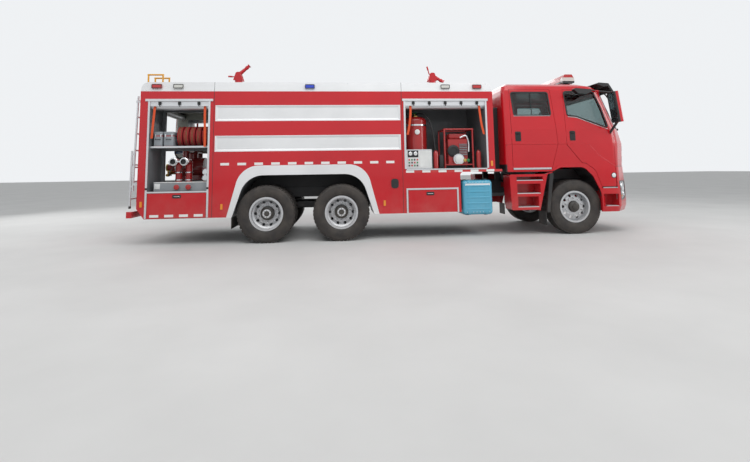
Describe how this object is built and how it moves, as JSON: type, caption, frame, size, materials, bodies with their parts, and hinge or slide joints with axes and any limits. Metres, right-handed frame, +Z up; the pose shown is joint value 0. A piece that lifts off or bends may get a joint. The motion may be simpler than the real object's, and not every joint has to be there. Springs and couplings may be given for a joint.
{
  "type": "fire truck",
  "caption": "Crew-cab water tender on a three-axle chassis: open side lockers, rear pump room, ladder, roof monitors, steering, opening doors and flaps.",
  "frame": {"origin": "on the ground under the middle of the truck's overall length and width", "axes": "+X forward along the truck, +Y to its left, +Z up"},
  "size_m": [9.69, 3.12, 3.6099],
  "materials": {
    "red_paint": "gloss",
    "white_paint": "gloss",
    "blue_tank": "semi-gloss, ribbed",
    "silver_trim": "satin",
    "chassis_black": "semi-matt",
    "engine_grey": "matt",
    "tyre_rubber": "matt",
    "wheel_silver": "satin",
    "window_glass": "tinted",
    "black_plastic": "matt",
    "lamp_lens": "clear and coloured lenses",
    "seat_fabric": "woven",
    "pump_steel": "painted castings and pipes",
    "equipment_red": "gloss",
    "panel_white": "semi-gloss"
  },
  "bodies": {
    "chassis": {"battery_and_air_tanks": "chassis_black", "body_front": "red_paint", "body_middle": "red_paint", "body_rear": "red_paint", "bumper": "red_paint", "cab_shell": "red_paint", "chassis_frame": "chassis_black", "control_panels": "panel_white", "dashboard": "black_plastic", "engine": "engine_grey", "fire_pump": "pump_steel", "front_axle": "chassis_black", "fuel_tank": "blue_tank", "grilles": "black_plastic", "hose_gear": "equipment_red", "ladder": "silver_trim", "lamps": "lamp_lens", "light_bar": "lamp_lens", "locker_equipment": "equipment_red", "locker_frames": "silver_trim", "monitor_bases": "red_paint", "rear_axles": "chassis_black", "rear_step": "red_paint", "seats": "seat_fabric", "shutters": "silver_trim", "side_steps": "red_paint", "step_treads": "silver_trim", "sun_visor": "black_plastic", "white_panels": "white_paint", "windscreen": "window_glass"},
    "knuckle_left": {"knuckle_left": "chassis_black"},
    "knuckle_right": {"knuckle_right": "chassis_black"},
    "wheel_front_right": {"tyre_front_right": "tyre_rubber", "rim_front_right": "wheel_silver"},
    "wheel_front_left": {"tyre_front_left": "tyre_rubber", "rim_front_left": "wheel_silver"},
    "wheels_rear_1_right": {"tyres_rear_1_right": "tyre_rubber", "rims_rear_1_right": "wheel_silver"},
    "wheels_rear_1_left": {"tyres_rear_1_left": "tyre_rubber", "rims_rear_1_left": "wheel_silver"},
    "wheels_rear_2_right": {"tyres_rear_2_right": "tyre_rubber", "rims_rear_2_right": "wheel_silver"},
    "wheels_rear_2_left": {"tyres_rear_2_left": "tyre_rubber", "rims_rear_2_left": "wheel_silver"},
    "front_door_right": {"door_front_right": "red_paint", "glass_front_right": "window_glass"},
    "rear_door_right": {"door_rear_right": "red_paint", "glass_rear_right": "window_glass"},
    "front_flap_right": {"flap_front_right": "red_paint"},
    "rear_flap_right": {"flap_rear_right": "red_paint"},
    "front_door_left": {"door_front_left": "red_paint", "glass_front_left": "window_glass"},
    "rear_door_left": {"door_rear_left": "red_paint", "glass_rear_left": "window_glass"},
    "front_flap_left": {"flap_front_left": "red_paint"},
    "rear_flap_left": {"flap_rear_left": "red_paint"},
    "turret_rear": {"monitor_turret_rear": "red_paint"},
    "barrel_rear": {"monitor_barrel_rear": "red_paint"},
    "turret_front": {"monitor_turret_front": "red_paint"},
    "barrel_front": {"monitor_barrel_front": "red_paint"}
  },
  "joints": [
    {"name": "steer_right", "type": "hinge", "parent": "chassis", "child": "knuckle_right", "pos_m": [3.505, -0.885, 0.522], "axis": [0, 0, 1], "range_deg": [-38, 38]},
    {"name": "roll_front_right", "type": "hinge", "parent": "knuckle_right", "child": "wheel_front_right", "pos_m": [3.505, -1.031, 0.522], "axis": [0, 1, 0], "continuous": true},
    {"name": "steer_left", "type": "hinge", "parent": "chassis", "child": "knuckle_left", "pos_m": [3.505, 0.885, 0.522], "axis": [0, 0, 1], "range_deg": [-38, 38]},
    {"name": "roll_front_left", "type": "hinge", "parent": "knuckle_left", "child": "wheel_front_left", "pos_m": [3.505, 1.031, 0.522], "axis": [0, 1, 0], "continuous": true},
    {"name": "roll_rear_1_right", "type": "hinge", "parent": "chassis", "child": "wheels_rear_1_right", "pos_m": [-1.045, -1.096, 0.522], "axis": [0, 1, 0], "continuous": true},
    {"name": "roll_rear_1_left", "type": "hinge", "parent": "chassis", "child": "wheels_rear_1_left", "pos_m": [-1.045, 1.096, 0.522], "axis": [0, 1, 0], "continuous": true},
    {"name": "roll_rear_2_right", "type": "hinge", "parent": "chassis", "child": "wheels_rear_2_right", "pos_m": [-2.415, -1.096, 0.522], "axis": [0, 1, 0], "continuous": true},
    {"name": "roll_rear_2_left", "type": "hinge", "parent": "chassis", "child": "wheels_rear_2_left", "pos_m": [-2.415, 1.096, 0.522], "axis": [0, 1, 0], "continuous": true},
    {"name": "open_front_door_right", "type": "hinge", "parent": "chassis", "child": "front_door_right", "pos_m": [4.343, -1.25, 1.9], "axis": [0, 0, 1], "range_deg": [0, 70]},
    {"name": "open_rear_door_right", "type": "hinge", "parent": "chassis", "child": "rear_door_right", "pos_m": [3.186, -1.25, 1.9], "axis": [0, 0, 1], "range_deg": [0, 70]},
    {"name": "drop_front_flap_right", "type": "hinge", "parent": "chassis", "child": "front_flap_right", "pos_m": [0.67, -1.245, 0.491], "axis": [1, 0, 0], "range_deg": [0, 90]},
    {"name": "drop_rear_flap_right", "type": "hinge", "parent": "chassis", "child": "rear_flap_right", "pos_m": [-3.99, -1.245, 0.494], "axis": [1, 0, 0], "range_deg": [0, 90]},
    {"name": "open_front_door_left", "type": "hinge", "parent": "chassis", "child": "front_door_left", "pos_m": [4.343, 1.25, 1.9], "axis": [0, 0, -1], "range_deg": [0, 70]},
    {"name": "open_rear_door_left", "type": "hinge", "parent": "chassis", "child": "rear_door_left", "pos_m": [3.186, 1.25, 1.9], "axis": [0, 0, -1], "range_deg": [0, 70]},
    {"name": "drop_front_flap_left", "type": "hinge", "parent": "chassis", "child": "front_flap_left", "pos_m": [0.67, 1.245, 0.491], "axis": [-1, 0, 0], "range_deg": [0, 90]},
    {"name": "drop_rear_flap_left", "type": "hinge", "parent": "chassis", "child": "rear_flap_left", "pos_m": [-3.99, 1.245, 0.494], "axis": [-1, 0, 0], "range_deg": [0, 90]},
    {"name": "turn_monitor_rear", "type": "hinge", "parent": "chassis", "child": "turret_rear", "pos_m": [-3.216, 0, 3.2], "axis": [0, 0, 1], "range_deg": [-170, 170]},
    {"name": "tilt_monitor_rear", "type": "hinge", "parent": "turret_rear", "child": "barrel_rear", "pos_m": [-3.216, 0, 3.375], "axis": [0, -1, 0], "range_deg": [-72, 28]},
    {"name": "turn_monitor_front", "type": "hinge", "parent": "chassis", "child": "turret_front", "pos_m": [0.995, 0, 3.2], "axis": [0, 0, 1], "range_deg": [-170, 170]},
    {"name": "tilt_monitor_front", "type": "hinge", "parent": "turret_front", "child": "barrel_front", "pos_m": [0.995, 0, 3.375], "axis": [0, -1, 0], "range_deg": [0, 100]}
  ],
  "couplings": [
    {"joint": "steer_left", "follows": "steer_right", "ratio": 1}
  ]
}
